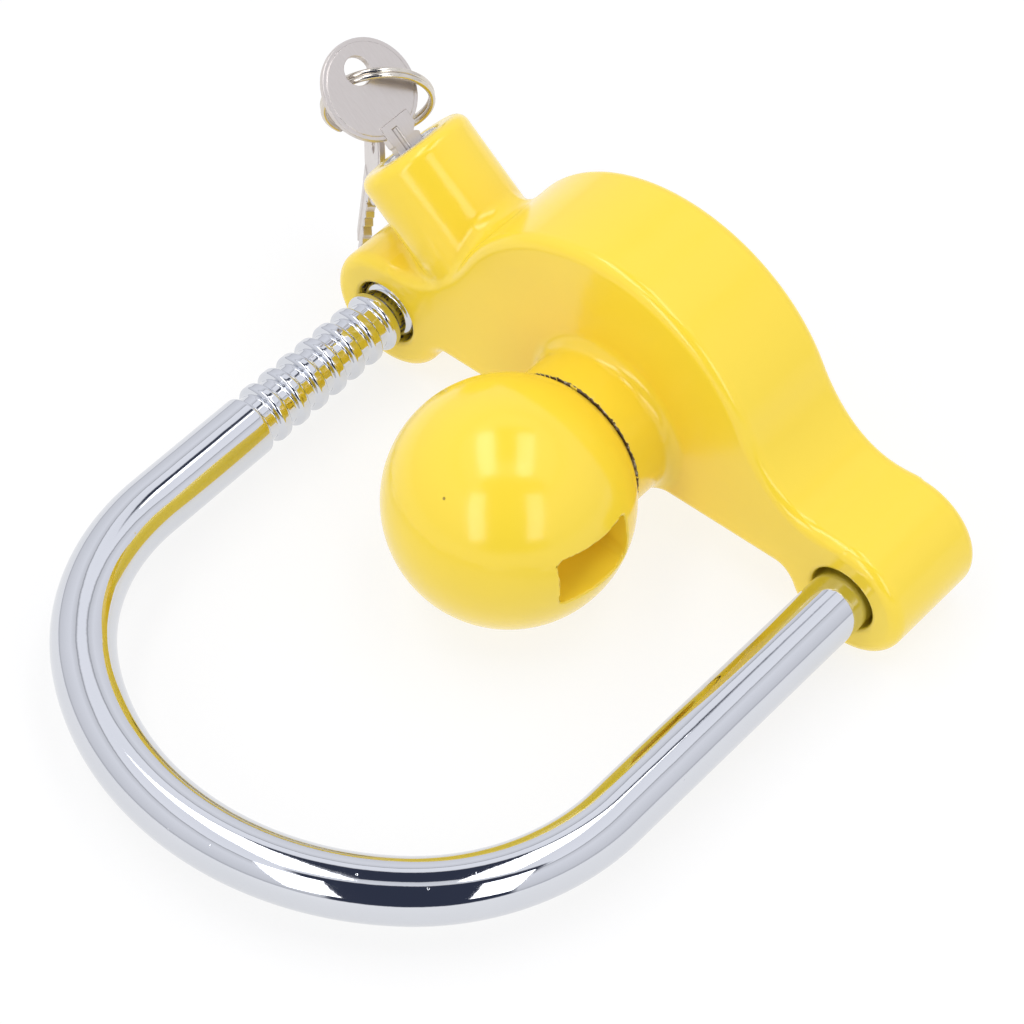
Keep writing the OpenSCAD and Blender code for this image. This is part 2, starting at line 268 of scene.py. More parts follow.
class Shader:
    """A material under construction."""

    def __init__(self, name):
        self.material = bpy.data.materials.new(name)
        self.material.use_nodes = True
        self.tree = self.material.node_tree
        self.bsdf = self.tree.nodes["Principled BSDF"]
        self.coords = self.node("ShaderNodeTexCoord").outputs["Object"]

    def node(self, kind, **values):
        made = self.tree.nodes.new(kind)
        for key, value in values.items():
            setattr(made, key, value)
        return made

    def link(self, source, target):
        self.tree.links.new(source, target)

    def feed(self, socket, source):
        """Drives a socket of the surface shader."""
        self.link(source, self.bsdf.inputs[socket])

    def put(self, **sockets):
        """Sets sockets of the surface shader to plain values."""
        for key, value in sockets.items():
            self.bsdf.inputs[key.replace("_", " ")].default_value = value

    def scaled(self, stretch=(1, 1, 1), turn=(0, 0, 0)):
        """Turned and stretched coordinates, for brushed and turned surfaces."""
        mapping = self.node("ShaderNodeMapping")
        mapping.inputs["Scale"].default_value = stretch
        mapping.inputs["Rotation"].default_value = turn
        self.link(self.coords, mapping.inputs["Vector"])
        return mapping.outputs["Vector"]

    def noise(self, size_mm, detail=2.0, rough=0.5, vector=None):
        """Noise whose features are about size_mm across."""
        made = self.node("ShaderNodeTexNoise")
        made.inputs["Scale"].default_value = 1000.0 / size_mm
        made.inputs["Detail"].default_value = detail
        made.inputs["Roughness"].default_value = rough
        self.link(vector or self.coords, made.inputs["Vector"])
        return made.outputs["Fac"]

    def specks(self, size_mm, cut_at, soft=0.04):
        """Rare round spots: 1 in the middle of a spot, 0 elsewhere."""
        made = self.node("ShaderNodeTexVoronoi")
        made.inputs["Scale"].default_value = 1000.0 / size_mm
        self.link(self.coords, made.inputs["Vector"])
        near = self.ramp(made.outputs["Distance"], [(cut_at, (1, 1, 1)), (cut_at + soft, (0, 0, 0))])
        pick = self.node("ShaderNodeSeparateColor")
        self.link(made.outputs["Color"], pick.inputs["Color"])
        rare = self.ramp(pick.outputs["Red"], [(0.93, (0, 0, 0)), (0.94, (1, 1, 1))])
        return self.math("MULTIPLY", near, rare)

    def ramp(self, source, stops):
        """Colours by value: stops are (value, colour) pairs."""
        made = self.node("ShaderNodeValToRGB")
        fill_ramp(made, stops)
        self.link(source, made.inputs["Fac"])
        return made.outputs["Color"]

    def math(self, operation, a, b):
        made = self.node("ShaderNodeMath", operation=operation)
        for socket, value in zip(made.inputs, (a, b)):
            if isinstance(value, (int, float)):
                socket.default_value = value
            else:
                self.link(value, socket)
        return made.outputs["Value"]

    def mix(self, amount, a, b):
        """Colour a at amount 0, b at amount 1."""
        made = self.node("ShaderNodeMix", data_type="RGBA")
        for socket, value in zip((made.inputs[0], made.inputs[6], made.inputs[7]), (amount, a, b)):
            if isinstance(value, tuple):
                socket.default_value = (*value, 1)
            elif isinstance(value, (int, float)):
                socket.default_value = value
            else:
                self.link(value, socket)
        return made.outputs[2]

    def spread(self, source, low, high):
        """Maps a 0 to 1 value to low to high."""
        made = self.node("ShaderNodeMapRange")
        made.inputs["To Min"].default_value = low
        made.inputs["To Max"].default_value = high
        self.link(source, made.inputs["Value"])
        return made.outputs["Result"]

    def bump(self, layers):
        """Stacks (height source, depth in mm) layers of bump."""
        last = None
        for source, depth in layers:
            made = self.node("ShaderNodeBump")
            made.inputs["Strength"].default_value = BUMP_STRENGTH
            made.inputs["Distance"].default_value = depth * MM
            self.link(source, made.inputs["Height"])
            if last:
                self.link(last, made.inputs["Normal"])
            last = made.outputs["Normal"]
        self.feed("Normal", last)


ENAMEL = (0.95, 0.705, 0.050)
ENAMEL_DEEP = (0.94, 0.680, 0.044)
DUST = (0.16, 0.09, 0.02)


def enamel_material():
    """Glossy yellow enamel with dust specks, and bare metal where a mesh's bare value is 1."""
    s = Shader("yellow_enamel")
    s.put(IOR=1.5, Coat_Weight=0.15, Coat_Roughness=0.05, Coat_IOR=1.5)
    cloud = s.noise(38, 3, 0.55)
    fine = s.noise(4.0, 3, 0.6)
    colour = s.mix(s.spread(cloud, 0.0, 0.75), ENAMEL, ENAMEL_DEEP)
    dust = s.specks(7.0, 0.035, 0.02)
    colour = s.mix(s.math("MULTIPLY", dust, 0.75), colour, DUST)
    bare = s.node("ShaderNodeAttribute", attribute_name="bare").outputs["Fac"]
    ragged = s.math("ADD", bare, s.spread(s.noise(1.3, 3), -0.35, 0.35))
    showing = s.ramp(ragged, [(0.45, (0, 0, 0)), (0.55, (1, 1, 1))])
    rust = s.ramp(s.noise(1.6, 4, 0.65), [
        (0.30, (0.07, 0.045, 0.028)),
        (0.55, (0.17, 0.12, 0.08)),
        (0.70, (0.60, 0.57, 0.52))])
    colour = s.mix(showing, colour, rust)
    s.feed("Base Color", colour)
    s.feed("Metallic", s.math("MULTIPLY", showing, 0.7))
    gloss = s.spread(fine, 0.15, 0.23)
    s.feed("Roughness", s.math("ADD", gloss, s.math("MULTIPLY", showing, 0.3)))
    s.bump([(s.noise(2.6, 1.0, 0.4), 0.02), (s.noise(11.0, 1.0, 0.4), 0.12), (dust, -0.12)])
    return s.material


def chrome_material():
    s = Shader("mirror_chrome")
    s.put(Metallic=1.0, IOR=2.5)
    s.feed("Base Color", s.mix(s.noise(22, 3), (0.68, 0.69, 0.73), (0.63, 0.65, 0.69)))
    haze = s.noise(3.0, 4, 0.65)
    s.feed("Roughness", s.spread(haze, 0.015, 0.075))
    waves, ripples, pits = s.noise(9.0, 1.0, 0.4), s.noise(1.4, 2.0, 0.5), s.specks(2.2, 0.07)
    s.bump([(waves, 0.035), (ripples, 0.0035), (pits, -0.02)])
    return s.material


def plated_material():
    s = Shader("plated_lock_metal")
    s.put(Metallic=1.0)
    s.feed("Base Color", s.mix(s.noise(5, 3), (0.74, 0.74, 0.75), (0.60, 0.60, 0.62)))
    s.feed("Roughness", s.spread(s.noise(1.2, 4), 0.06, 0.22))
    s.bump([(s.noise(0.8, 3), 0.006)])
    return s.material


def nickel_material():
    s = Shader("satin_nickel")
    s.put(Metallic=1.0)
    brushed = s.noise(2.4, 4, 0.65, s.scaled((1, 9, 1), (0.5, 0.4, 0.3)))
    s.feed("Base Color", s.mix(brushed, (0.70, 0.655, 0.63), (0.60, 0.555, 0.53)))
    s.feed("Roughness", s.spread(brushed, 0.24, 0.42))
    s.bump([(brushed, 0.005), (s.specks(1.8, 0.06), -0.015)])
    return s.material


def wire_material():
    s = Shader("ring_wire_nickel")
    s.put(Metallic=1.0)
    s.feed("Base Color", s.mix(s.noise(3.0, 3), (0.74, 0.70, 0.64), (0.60, 0.55, 0.48)))
    s.feed("Roughness", s.spread(s.noise(0.7, 3), 0.08, 0.22))
    s.bump([(s.noise(0.5, 2), 0.004)])
    return s.material


def metal_material(name, light, dark, rough, grain_mm):
    """Turned metal with stains; rough holds its smoothest and its roughest roughness."""
    s = Shader(name)
    s.put(Metallic=1.0)
    turned = s.noise(grain_mm, 4, 0.6, s.scaled((1, 1, 6)))
    stain = s.noise(grain_mm * 6, 3)
    colour = s.mix(turned, light, dark)
    s.feed("Base Color", s.mix(s.spread(stain, 0.0, 0.5), colour, dark))
    s.feed("Roughness", s.spread(turned, rough[0], rough[1]))
    s.bump([(turned, 0.006)])
    return s.material


def floor_material():
    s = Shader("studio_floor")
    s.put(Roughness=0.9, Emission_Strength=0.78)
    tone = s.mix(s.noise(180, 2), (0.21, 0.21, 0.21), (0.19, 0.19, 0.19))
    s.feed("Base Color", tone)
    s.put(Emission_Color=(1, 1, 1, 1))
    return s.material


# ---------------------------------------------------------------------------
# The casting and the ball
# ---------------------------------------------------------------------------
ARCH_R = 38.0
ARCH_SHIFT = 2.0
WEB_BLEND = 14.0
EDGE_R = 2.5
BELLY_Z = FLOOR_Z + 11.0
EAR_FILLET = 2.5
BORE_R = 7.0
BORE_RIM = 0.7

NECK_R = 15.8
NECK_FLARE = 3.0
SEAM_HALF = 0.45
SCREW_HOLE_R = 5.2
RECESS_R = 9.0
RECESS_DEEP = 12.0

BOSS_R = 12.0
BOSS_LENGTH = 36.0
BOSS_RIM = 2.5
BOSS_FILLET_BROAD = 5.0
BOSS_FILLET_TIGHT = 0.7
SHELL_BORE_DEEP = 16.5
SHELL_BORE_RIM = 0.6
CAM_ROOM_R = SHELL_R - 0.5
CAM_ROOM_START = 16.0
CAM_ROOM_END = 26.0
SHELL_PIN_R = 1.0
SHELL_PIN_X = 6.3
SHELL_PIN_Z = 12.0
SHELL_PIN_END = -4.2

# Pawl's bore and its spring's pocket: radii, and where they end along the pawl's axis.
PAWL_BORE_R = 4.55
PAWL_BORE_TOP = -6.2
SPRING_POCKET_R = 3.05
SPRING_POCKET_END = -4.5
SPRING_SEAT = -10.5

# The pocket in the ball's flank: its middle, half sizes, corners and floor.
POCKET_Y = -1.8
POCKET_Z = 1.4
POCKET_HALF_Y = 8.6
POCKET_HALF_Z = 5.6
POCKET_CORNER = 1.6
POCKET_FLOOR_X = 12.0
POCKET_FLOOR_R = 0.9
POCKET_RIM = 0.35


def outline_solid(x, z):
    """The body's outline seen from the front: arch, web and two ears."""
    arch = np.hypot(x + ARCH_SHIFT, z) - ARCH_R
    plate = np.maximum(z - (FLOOR_Z + 2 * EAR_R), np.abs(x) - HALF_SPAN)
    outline = join(arch, plate, WEB_BLEND)
    outline = slab(outline, BELLY_Z - z, 0.2)
    # An ear runs smoothly into the web's top, so only its lower corner gets a fillet.
    corner = 0.05 + EAR_FILLET * fade(-z, 4.0, 10.0)
    for side in (-1, 1):
        ear = np.hypot(x - side * HALF_SPAN, z - LEG_Z) - EAR_R
        outline = join(outline, ear, corner)
    return outline


def lock_holes(to_leg, rear, into):
    """The sharp-edged holes inside the boss: cam room, pawl's bore, spring's pocket, shell's pin."""
    cam_room = np.maximum(np.hypot(to_leg, rear) - CAM_ROOM_R, between(into, CAM_ROOM_START, CAM_ROOM_END))
    beside = np.hypot(into - PAWL_AT, rear)
    pawl_bore = np.maximum(beside - PAWL_BORE_R, PAWL_BORE_TOP - to_leg)
    pocket = np.maximum(beside - SPRING_POCKET_R, between(to_leg, SPRING_SEAT, SPRING_POCKET_END))
    pin_across = np.hypot(to_leg - SHELL_PIN_X, into - SHELL_PIN_Z)
    pin = np.maximum(pin_across - SHELL_PIN_R, SHELL_PIN_END - rear)
    return np.minimum(np.minimum(cam_room, pawl_bore), np.minimum(pocket, pin))


def casting_solid(points):
    """The body with its lock boss and neck, and every bore and hole in them."""
    x, y, z = points.T
    depth = between(y, FACE_Y, REAR_Y)
    body = slab(outline_solid(x, z), depth, EDGE_R)
    to_leg, rear, into = lock_coords(points)
    across = np.hypot(to_leg, rear)
    boss = rod(across, into, BOSS_R, 0.0, BOSS_LENGTH, BOSS_RIM)
    # The fillet round the boss is broad on top of the ear and tight beside the flat faces.
    widening = (BOSS_FILLET_BROAD - BOSS_FILLET_TIGHT) * fade(-depth, 0.6, 6.6)
    body = np.maximum(join(body, boss, BOSS_FILLET_TIGHT + widening), depth)
    neck_across = np.hypot(x, z)
    neck = rod(neck_across, y, NECK_R, SEAT_Y, FACE_Y + 3.0, 0.25)
    body = join(body, neck, NECK_FLARE)
    for side in (-1, 1):
        bore = np.hypot(x - side * HALF_SPAN, z - LEG_Z) - BORE_R
        body = cut(body, bore, BORE_RIM)
    shell_bore = np.maximum(across - SHELL_R - 0.05, into - SHELL_BORE_DEEP)
    body = cut(body, shell_bore, SHELL_BORE_RIM)
    body = np.maximum(body, -lock_holes(to_leg, rear, into))
    body = np.maximum(body, SCREW_HOLE_R - neck_across)
    recess = np.maximum(neck_across - RECESS_R, REAR_Y - RECESS_DEEP - y)
    return cut(body, recess, 0.6)


def bare_metal(points):
    """1 in the unpainted holes (ratchet leg, lock, pawl and screw) and in the ball's dark seam."""
    x, y, z = points.T
    bore = np.hypot(x + HALF_SPAN, z - LEG_Z) - BORE_R
    to_leg, rear, into = lock_coords(points)
    beside = np.maximum(np.hypot(into - PAWL_AT, rear) - PAWL_BORE_R, -7.0 - to_leg)
    inner = np.maximum(np.hypot(to_leg, rear) - SHELL_R - 0.1, 1.0 - into)
    screw = np.hypot(x, z) - SCREW_HOLE_R - 0.1
    near = np.minimum(np.minimum(bore, beside), np.minimum(inner, screw))
    return np.maximum(fade(-near, -0.25, 0.25), seam(points))


def seam(points):
    """1 in the dark line where the ball's flat meets the neck."""
    x, y, z = points.T
    outside = np.hypot(x, z) > NECK_R - 0.8
    return np.clip(1.05 - np.abs(y - SEAT_Y) / SEAM_HALF, 0, 1) * outside


def make_casting(material):
    points, faces, normals = surface(casting_solid, BODY_LOW, BODY_HIGH, step=0.55)
    piece = new_mesh("body_casting", points, faces, normals)
    point_value(piece, "bare", bare_metal(points))
    piece.data.materials.append(material)
    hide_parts("lock_body")
    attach(piece, "casting")


def ball_solid(points):
    """The ball, flat where it meets the neck, with its pocket and the screw's hole."""
    x, y, z = points.T
    sphere = np.sqrt(x * x + y * y + z * z) - BALL_R
    ball = slab(sphere, y - SEAT_Y, 0.35)
    opening = block(y - POCKET_Y, z - POCKET_Z, POCKET_HALF_Y, POCKET_HALF_Z, POCKET_CORNER)
    pocket = slab(opening, POCKET_FLOOR_X - x, POCKET_FLOOR_R)
    ball = cut(ball, pocket, POCKET_RIM)
    screw = np.maximum(np.hypot(x, z) - 5.05, -y)
    return np.maximum(ball, -screw)


def make_ball(material):
    points, faces, normals = surface(ball_solid, BALL_LOW, BALL_HIGH, step=0.45)
    piece = new_mesh("ball_casting", points, faces, normals)
    screw_hole = np.hypot(points[:, 0], points[:, 2]) - SCREW_HOLE_R
    bare = fade(-screw_hole, -0.2, 0.2) * (points[:, 1] > 0)
    point_value(piece, "bare", np.maximum(bare, seam(points)))
    piece.data.materials.append(material)
    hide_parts("ball")
    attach(piece, "casting")


# ---------------------------------------------------------------------------
# The shackle
# ---------------------------------------------------------------------------
# Distances along the legs are from the body's front face, positive into the bores.
ROD_R = 6.18
LEG_OUT = 65.5
LEG_IN = 19.0
END_ROUND = 0.9
CORNER_R = 46.0
END_R = 62.0
PITCH = 5.2
RINGS = 10
RING_FIRST = 12.6
RING_R = 6.2
RING_HALF = 1.5
CREST_HALF = 0.8
RING_EDGE = 1.25
EDGE_DROP = 0.4
ROOT_R = 5.0
SHOULDER = -38.2
SMOOTH_WIDTH = 0.18


def ratchet_radius(along):
    """Radius of the ratchet leg at a distance from the body's front face."""
    at = [-LEG_OUT, SHOULDER - 0.55, SHOULDER - 0.2, SHOULDER]
    radius = [ROD_R, ROD_R, ROD_R - 0.35, ROOT_R]
    for k in reversed(range(RINGS)):
        crest = RING_FIRST - PITCH * k
        at += [crest - RING_HALF, crest - RING_EDGE, crest - CREST_HALF]
        at += [crest + CREST_HALF, crest + RING_EDGE, crest + RING_HALF]
        radius += [ROOT_R, RING_R - EDGE_DROP, RING_R, RING_R, RING_R - EDGE_DROP, ROOT_R]
    at += [LEG_IN]
    radius += [ROOT_R]
    # The profile's corners are softened by averaging over half a millimetre to each side.
    spread = np.linspace(-0.5, 0.5, 21)
    weight = np.exp(-0.5 * (spread / SMOOTH_WIDTH) ** 2)
    smooth = sum(w * np.interp(along + d, at, radius) for d, w in zip(spread, weight))
    return smooth / weight.sum()


def shackle_path():
    """Points, directions and radii along the rod, from the ratchet leg's end to the plain leg's."""
    corner_x = HALF_SPAN - CORNER_R
    drop = math.sqrt((END_R - CORNER_R) ** 2 - corner_x ** 2)
    turn = math.atan2(drop, corner_x)
    # Points lie close together on the rounded ends and along the rings.
    ratchet = np.concatenate([
        LEG_IN - np.array([0, 0.02, 0.15, 0.4, 0.7]),
        np.arange(LEG_IN - 1.0, SHOULDER - 1.2, -0.1),
        np.linspace(SHOULDER - 2, -LEG_OUT, 26)])
    rows = [(-HALF_SPAN, a, 0, -1) for a in ratchet]
    radii = [float(r) for r in ratchet_radius(ratchet)]

    def arc(centre_x, centre_y, r, start, end, count):
        for a in np.linspace(start, end, count)[1:]:
            rows.append((centre_x + r * math.cos(a), centre_y + r * math.sin(a), -math.sin(a), math.cos(a)))
            radii.append(ROD_R)

    arc(-corner_x, -LEG_OUT, CORNER_R, math.pi, math.pi + turn, 40)
    arc(0, drop - LEG_OUT, END_R, math.pi + turn, 2 * math.pi - turn, 84)
    arc(corner_x, -LEG_OUT, CORNER_R, 2 * math.pi - turn, 2 * math.pi, 40)
    plain = np.concatenate([
        np.linspace(-LEG_OUT, LEG_IN - 1.2, 90)[1:],
        LEG_IN - np.array([0.9, 0.6, 0.35, 0.12, 0.0])])
    for a in plain:
        rows.append((HALF_SPAN, a, 0, 1))
        radii.append(ROD_R)
    rows = np.array(rows)
    radii = np.array(radii)
    # Five points at each end round its rim off.
    for end in (slice(0, 5), slice(-5, None)):
        inward = np.minimum(np.abs(rows[end, 1] - LEG_IN), END_ROUND)
        radii[end] -= END_ROUND - np.sqrt(np.maximum(END_ROUND ** 2 - (END_ROUND - inward) ** 2, 0))
    points = np.stack([rows[:, 0], rows[:, 1] + FACE_Y, np.full(len(rows), LEG_Z)], 1)
    ways = np.stack([rows[:, 2], rows[:, 3], np.zeros(len(rows))], 1)
    return points, ways, radii


def tube(points, ways, radii, sides, up):
    """Closed tube along points; up is a direction across it everywhere."""
    angle = 2 * math.pi * np.arange(sides) / sides
    side = np.cross(ways, up)
    side /= np.linalg.norm(side, axis=1, keepdims=True)
    over = np.cross(side, ways)
    ring = side[:, None] * np.cos(angle)[None, :, None] + over[:, None] * np.sin(angle)[None, :, None]
    verts = (points[:, None] + radii[:, None, None] * ring).reshape(-1, 3)
    rows = len(points)
    i, j = np.meshgrid(np.arange(rows - 1), np.arange(sides), indexing="ij")
    k = (j + 1) % sides
    faces = np.stack([i * sides + j, i * sides + k, (i + 1) * sides + k, (i + 1) * sides + j], -1)
    faces = faces.reshape(-1, 4).tolist()
    verts = np.vstack([verts, points[0], points[-1]])
    first, last = rows * sides, rows * sides + 1
    for j in range(sides):
        k = (j + 1) % sides
        faces.append([first, k, j])
        faces.append([last, (rows - 1) * sides + j, (rows - 1) * sides + k])
    return verts, faces


def make_shackle(material):
    points, ways, radii = shackle_path()
    verts, faces = tube(points, ways, radii, 96, np.array([0.0, 0.0, 1.0]))
    piece = new_mesh("shackle_rod", verts, faces)
    piece.data.materials.append(material)
    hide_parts("shackle")
    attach(piece, "shackle")


# ---------------------------------------------------------------------------
# The lock plug, the keys and the ring
# ---------------------------------------------------------------------------
# Plug: distances are into the body from its face.
WAFERS = 5
WAFER_PITCH = 2.6
FACE_R = 6.2
FACE_DEEP = 1.2
DISH_R = 5.4
DISH_DEEP = 0.16
BARREL_R = 4.9
BARREL_END = 17.15
TANG_HALF = 2.5
TANG_START = 16.4
TANG_END = 18.8
KEYWAY_HALF_X = 1.1
KEYWAY_HALF_Y = 3.7
KEYWAY_END = 16.6
MOUTH_HALF_Y = 4.3
MOUTH_DEEP = 0.8
SLOT_FIRST = 3.4
SLOT_HALF_X = 3.1
SLOT_HALF_Z = 0.6
CLIP_ROOT_R = 4.0
CLIP_AT = 16.55
CLIP_HALF = 0.45

# Key: x runs along the blade from the plug's face, y across it.
KEY_THICK = 1.9
HEAD_X = -13.1
HEAD_R = 10.25
RIM_WIDTH = 0.85
HOLE_X = -17.3
HOLE_R = 2.9
NECK_X = -3.7
NECK_HALF_X = 2.3
NECK_HALF_Y = 3.7
BLADE_START = -3.5
BLADE_LENGTH = 15.5
BLADE_HALF = 3.5
CUTS = 6
FIRST_PEAK = 2.1
SHALLOWEST_CUT = 0.9
CUT_STEP = 0.5


def plug_solid(points):
    """The plug in the lock frame: x towards the leg, y to the rear, z into the body."""
    x, y, z = points.T
    across = np.hypot(x, y)
    face = rod(across, z, FACE_R, 0, FACE_DEEP, 0.35)
    barrel = rod(across, z, BARREL_R, 0.3, BARREL_END, 0.15)
    dish = np.maximum(across - DISH_R, z - DISH_DEEP)
    plug = cut(np.minimum(face, barrel), dish, 0.12)
    tang = np.maximum(np.maximum(np.abs(x), np.abs(y)) - TANG_HALF, between(z, TANG_START, TANG_END))
    plug = np.minimum(plug, tang)
    # The keyway's mouth is a little longer than the key is wide.
    mouth = np.maximum(block(x, y, KEYWAY_HALF_X, MOUTH_HALF_Y, 0.3), z - MOUTH_DEEP)
    plug = cut(plug, mouth, 0.1)
    keyway = np.maximum(block(x, y, KEYWAY_HALF_X, KEYWAY_HALF_Y, 0.2), z - KEYWAY_END)
    plug = np.maximum(plug, -keyway)
    for i in range(WAFERS):
        middle = SLOT_FIRST + WAFER_PITCH * i
        wafer_slot = np.maximum(np.abs(x) - SLOT_HALF_X, np.abs(z - middle) - SLOT_HALF_Z)
        plug = np.maximum(plug, -wafer_slot)
    groove = np.maximum(CLIP_ROOT_R - across, np.abs(z - CLIP_AT) - CLIP_HALF)
    return np.maximum(plug, -groove)


def make_plug(material):
    low, high = (-FACE_R, -FACE_R, 0), (FACE_R, FACE_R, TANG_END)
    points, faces, normals = surface(plug_solid, low, high, step=0.2)
    piece = new_mesh("plug_turned", points, faces, normals, (LOCK_POS, LOCK_X, LOCK_Y, LOCK_Z))
    piece.data.materials.append(material)
    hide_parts("lock_plug")
    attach(piece, "lock_core")


def bitting(x):
    """Height of the blade's cut edge at a distance from the plug's face: a saw line of cuts."""
    at, high = [-2.0], [BLADE_HALF]
    for i in range(CUTS):
        peak = FIRST_PEAK + WAFER_PITCH * i
        depth = SHALLOWEST_CUT + CUT_STEP * (i % 3)
        at += [peak - 1.0, peak]
        high += [BLADE_HALF - depth, BLADE_HALF - 0.3]
    return np.interp(x, at, high)


def key_solid(points):
    """A key in its own frame: x along the blade, y across it, z out of its face."""
    x, y, z = points.T
    # Height above the nearer face of the key's full thickness.
    above = np.abs(z) - KEY_THICK / 2
    head = np.hypot(x - HEAD_X, y) - HEAD_R
    rim = slab(head, above + 0.34, 0.18)
    plate = slab(head + RIM_WIDTH, above + 0.2, 0.1)
    neck = slab(block(x - NECK_X, y, NECK_HALF_X, NECK_HALF_Y, 0.3), above, 0.07)
    # The shoulder's notch flares towards the key's upper edge.
    notch = np.maximum(np.abs(x + 1.9) - 1.0 - 0.7 * (y - NECK_HALF_Y), 1.7 - y)
    tip = x - BLADE_LENGTH + np.abs(y) * 0.7
    edges = np.maximum(y - bitting(x), -BLADE_HALF - y)
    blade = np.maximum(np.maximum(BLADE_START - x, tip), edges)
    # The pointed tip's slope is steeper than one, so the distance is scaled down for the rounding.
    blade = slab(blade * 0.8, above + 0.02, 0.1)
    shank = np.maximum(np.minimum(neck, blade), -notch)
    groove = np.maximum(np.hypot(y + 1.0, above - 0.25) - 0.75, -4.5 - x)
    key = np.minimum(np.minimum(rim, plate), shank)
    key = np.maximum(key, -groove)
    return cut(key, np.hypot(x - HOLE_X, y) - HOLE_R, 0.15)


def spare_key_frame():
    """Hole, blade direction and face direction of the spare key, from its joint and its tip."""
    hole = np.array(JOINTS["spare_key_swing"]["pos_m"]) / MM
    face = np.array(JOINTS["spare_key_swing"]["axis"])
    spots = np.array([v.co for v in frame["nodes"]["spare_key"].data.vertices]) / MM
    away = np.linalg.norm(spots - hole, axis=1)
    tip = spots[away > away.max() - 0.02].mean(0)
    along = tip - hole
    along -= (along @ face) * face
    along /= np.linalg.norm(along)
    return hole - HOLE_X * along, along, np.cross(face, along), face


def make_keys(material):
    # The key's own box, which runs from just beyond its head to the blade's tip.
    low, high = (-23.4, -10.3, -KEY_THICK / 2), (BLADE_LENGTH, 10.3, KEY_THICK / 2)
    points, faces, normals = surface(key_solid, low, high, step=0.2)
    places = {
        "key": (LOCK_POS, LOCK_Z, LOCK_Y, -LOCK_X),
        "spare_key": spare_key_frame(),
    }
    for node, place in places.items():
        piece = new_mesh(node + "_blank", points, faces, normals, place)
        piece.data.materials.append(material)
        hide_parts(node)
        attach(piece, node)


# Split ring: where its wire starts, its end gap and half its crossing are angles in radians.
RING_MEAN_R = 10.5
WIRE_R = 0.625
RING_START = 2.2
RING_GAP = 0.12
CROSSING = 0.35


def make_ring(material):
    """Two turns of wire side by side, which cross over once, beside the wire's ends."""
    spots = np.array([v.co for v in frame["nodes"]["split_ring"].data.vertices]) / MM
    low, high = corners("split_ring")
    centre = (low + high) / 2
    _, _, ways = np.linalg.svd(spots - spots.mean(0), full_matrices=False)
    axis = ways[2]
    x = ways[0]
    y = np.cross(axis, x)
    angle = np.linspace(RING_GAP, 4 * math.pi - RING_GAP, 260)
    blend = fade(angle, 2 * math.pi - CROSSING, 2 * math.pi + CROSSING)
    rise = (WIRE_R - 0.05) * (2 * blend * blend * (3 - 2 * blend) - 1)
    c, s = np.cos(angle + RING_START), np.sin(angle + RING_START)
    points = centre + RING_MEAN_R * (c[:, None] * x + s[:, None] * y) + rise[:, None] * axis
    ways = np.gradient(points, axis=0)
    ways /= np.linalg.norm(ways, axis=1, keepdims=True)
    radii = np.full(len(points), WIRE_R)
    radii[[0, -1]] = WIRE_R * 0.75
    verts, faces = tube(points, ways, radii, 20, axis)
    piece = new_mesh("ring_wire", verts, faces)
    piece.data.materials.append(material)
    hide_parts("split_ring")
    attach(piece, "key_ring")


# ---------------------------------------------------------------------------
# The ball's screw and the springs
# ---------------------------------------------------------------------------
HEAD_END = REAR_Y - 2.4
SCREW_HEAD_R = 8.0
SCREW_HEAD_HIGH = 8.0
SHAFT_R = 5.0
SHAFT_END = 0.5
SOCKET_HALF = 4.0
SOCKET_DEEP = 5.0
KNURL_DEEP = 0.12

PAWL_COIL_R = 2.15
PAWL_WIRE_R = 0.36
PAWL_COIL_END = -3.0
WAFER_COIL_X = 2.5
WAFER_COIL_HALF = 1.5
WAFER_COIL_R = 0.3
WAFER_WIRE_R = 0.13


def screw_solid(points):
    """The ball's screw: knurled socket head to the rear, shaft towards the ball."""
    x, y, z = points.T
    across = np.hypot(x, z)
    knurl = KNURL_DEEP * np.abs(np.sin(24 * np.arctan2(z, x)))
    head = rod(across + knurl, y, SCREW_HEAD_R, HEAD_END - SCREW_HEAD_HIGH, HEAD_END, 0.7)
    shaft = rod(across, y, SHAFT_R, SHAFT_END, HEAD_END - SCREW_HEAD_HIGH + 1.0, 0.5)
    socket = HEAD_END - SOCKET_DEEP - y
    for k in range(3):
        a = math.pi * k / 3
        socket = np.maximum(socket, np.abs(x * math.cos(a) + z * math.sin(a)) - SOCKET_HALF)
    return cut(np.minimum(head, shaft), socket, 0.25)


def make_screw(material):
    low, high = corners("ball_screw")
    points, faces, normals = surface(screw_solid, low, high, step=0.33)
    piece = new_mesh("ball_screw_turned", points, faces, normals)
    piece.data.materials.append(material)
    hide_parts("ball_screw")
    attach(piece, "casting")


def make_coils(name, node, body, material, coils, radius, wire, turns):
    """Wound springs: coils holds the two ends of each one's axis."""
    verts, faces = [], []
    angle = np.linspace(0, 2 * math.pi * turns, turns * 20 + 1)
    for start, end in coils:
        length = np.linalg.norm(end - start)
        axis = (end - start) / length
        side = np.cross(axis, LOCK_Z)
        over = np.cross(axis, side)
        rise = np.linspace(wire, length - wire, len(angle))
        turned = np.cos(angle)[:, None] * side + np.sin(angle)[:, None] * over
        points = start + radius * turned + rise[:, None] * axis
        ways = np.gradient(points, axis=0)
        ways /= np.linalg.norm(ways, axis=1, keepdims=True)
        more, quads = tube(points, ways, np.full(len(points), wire), 10, axis)
        faces += [[corner + len(verts) for corner in quad] for quad in quads]
        verts += more.tolist()
    piece = new_mesh(name, verts, faces)
    piece.data.materials.append(material)
    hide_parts(node)
    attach(piece, body)
    return piece


